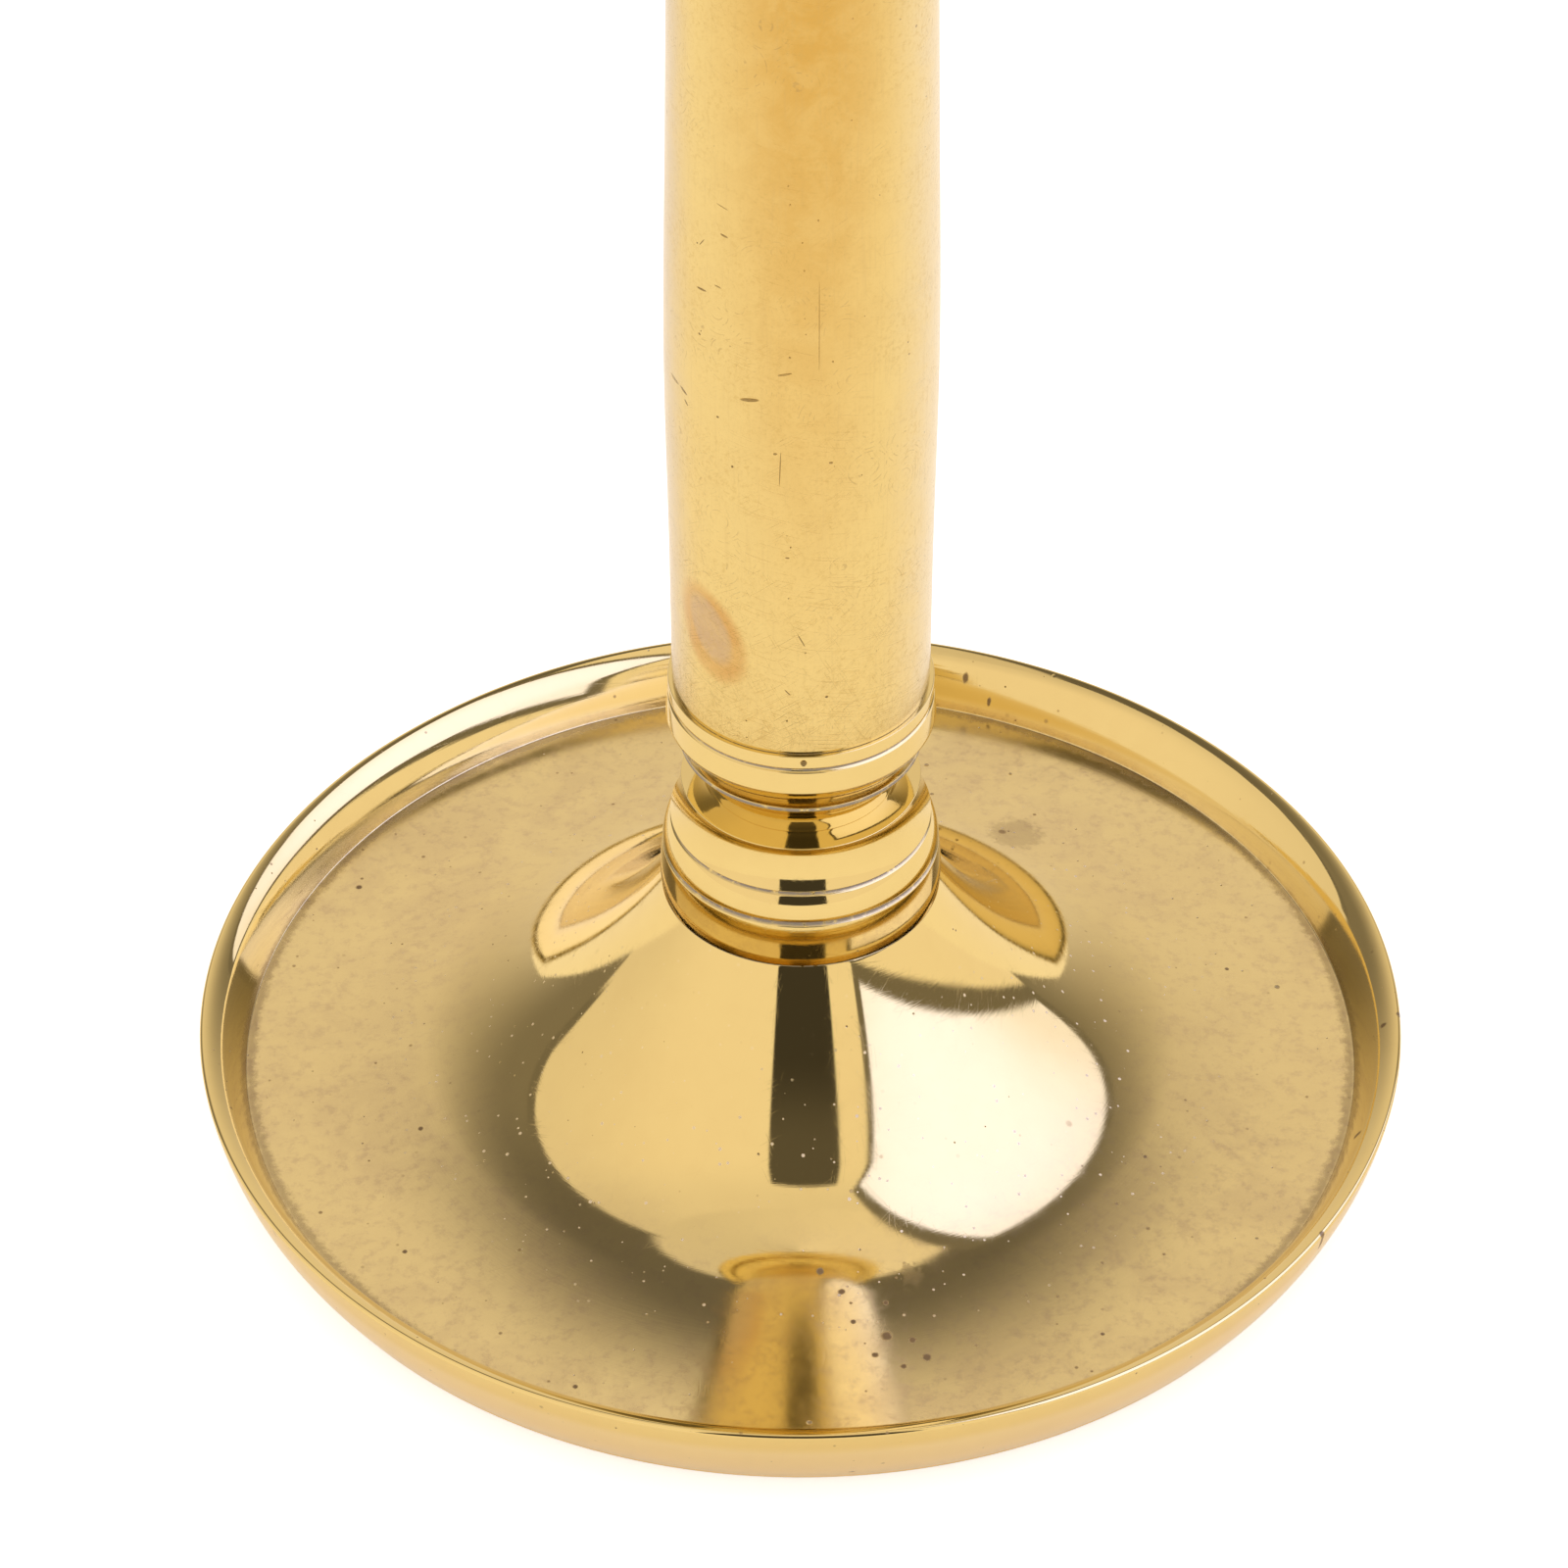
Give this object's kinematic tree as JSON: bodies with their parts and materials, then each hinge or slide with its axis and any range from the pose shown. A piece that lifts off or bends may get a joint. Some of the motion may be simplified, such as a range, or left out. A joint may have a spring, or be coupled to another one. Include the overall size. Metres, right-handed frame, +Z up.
{
  "type": "brass candlestick with saucer base",
  "caption": "Turned brass candlestick with a dished saucer base, trumpet crown, ring-turned collars, thick swelling tube stem, drip pan, candle nozzle and a push-up ejector.",
  "frame": {"origin": "centre of the base's foot ring, on the table", "axes": "+Z up along the stem; every visible piece is round about Z, so X and Y are free, and X follows the knob's cross pin"},
  "size_m": [0.15, 0.15, 0.206],
  "materials": {
    "base_brass": "polished, worn, with fine pits and turning marks",
    "collar_brass": "mirror polished, polish residue in the grooves",
    "stem_brass": "polished, with fine scratches and faint stains",
    "top_brass": "polished, worn",
    "knob_brass": "worn by fingers, slightly tarnished",
    "fitting_brass": "turned, unpolished and tarnished",
    "iron": "dark, lightly rusted",
    "rod_steel": "drawn, dull",
    "leather": "oiled packing"
  },
  "bodies": {
    "holder": {"base_pan": "base_brass", "base_collar": "collar_brass", "neck_ring": "collar_brass", "lower_ferrule": "collar_brass", "stem_tube": "stem_brass", "upper_ferrule": "top_brass", "drip_pan": "top_brass", "candle_nozzle": "top_brass", "socket_floor": "fitting_brass", "neck_stub": "fitting_brass", "base_washer": "iron", "base_nut": "iron", "rod_guide_bush": "fitting_brass", "friction_packing": "leather", "gland_nut": "fitting_brass"},
    "ejector": {"ejector_rod": "rod_steel", "ejector_disc": "fitting_brass", "disc_collar": "fitting_brass", "ejector_knob": "knob_brass", "knob_pin": "rod_steel"}
  },
  "joints": [
    {"name": "ejector_slide", "type": "slide", "parent": "holder", "child": "ejector", "axis": [0, 0, 1], "range_m": [0, 0.0175]}
  ]
}
